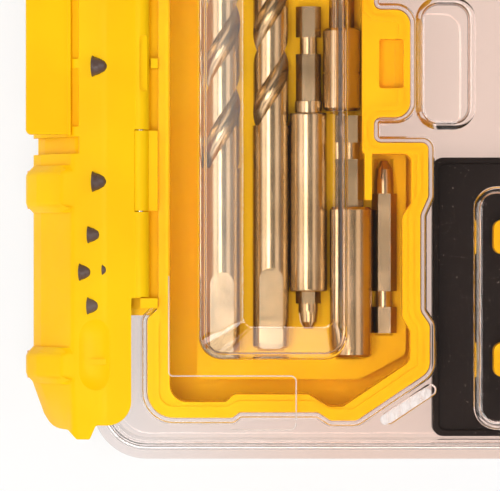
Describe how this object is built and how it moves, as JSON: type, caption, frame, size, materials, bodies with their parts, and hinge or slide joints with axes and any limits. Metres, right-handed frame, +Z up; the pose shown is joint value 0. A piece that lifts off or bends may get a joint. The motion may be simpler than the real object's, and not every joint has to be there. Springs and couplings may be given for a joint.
{
  "type": "bit set case",
  "caption": "Flat case for drill and driver bits, with a clear hinged lid, a yellow frame and a long side latch.",
  "frame": {"origin": "on the flat face that the case lies on, midway along the latch", "axes": "+Z up through the lid, -X towards the side latch, Y along the latch"},
  "size_m": [0.2428, 0.2294, 0.044],
  "materials": {
    "clear_plastic": "clear glossy",
    "yellow_plastic": "satin moulded",
    "bed_yellow": "satin moulded",
    "black_plastic": "satin moulded",
    "dark_studs": "satin",
    "champagne_steel": "satin coated",
    "bright_steel": "bright"
  },
  "bodies": {
    "base": {"base_tub": "clear_plastic", "tool_tray": "yellow_plastic", "bit_bed": "bed_yellow", "twist_drill_wide": "champagne_steel", "twist_drill_slim": "champagne_steel", "holder_shank": "champagne_steel", "holder_sleeve": "champagne_steel", "holder_magnet": "bright_steel", "holder_bit": "champagne_steel", "nut_driver_upper": "champagne_steel", "nut_driver_lower": "champagne_steel", "power_bit_lower": "champagne_steel", "power_bit_upper": "champagne_steel", "black_tray_lower": "black_plastic", "black_tray_upper": "black_plastic", "bit_bar_1": "yellow_plastic", "bit_bar_2": "yellow_plastic", "bit_bar_3": "yellow_plastic", "bit_bar_4": "yellow_plastic", "insert_bits": "champagne_steel", "hinge_spine": "yellow_plastic", "spine_screws": "bright_steel", "hinge_pin": "bright_steel"},
    "lid": {"lid_cover": "clear_plastic", "lid_frame": "yellow_plastic", "hinge_bar": "yellow_plastic", "bar_screws": "bright_steel", "latch_pin": "bright_steel"},
    "latch": {"side_latch": "yellow_plastic", "latch_studs": "dark_studs"}
  },
  "joints": [
    {"name": "lid_hinge", "type": "hinge", "parent": "base", "child": "lid", "pos_m": [0.1172, 0, 0.0201], "axis": [0, 1, 0], "range_deg": [0, 110]},
    {"name": "latch_pivot", "type": "hinge", "parent": "lid", "child": "latch", "pos_m": [-0.088, 0, 0.037], "axis": [0, 1, 0], "range_deg": [-5, 90]}
  ]
}
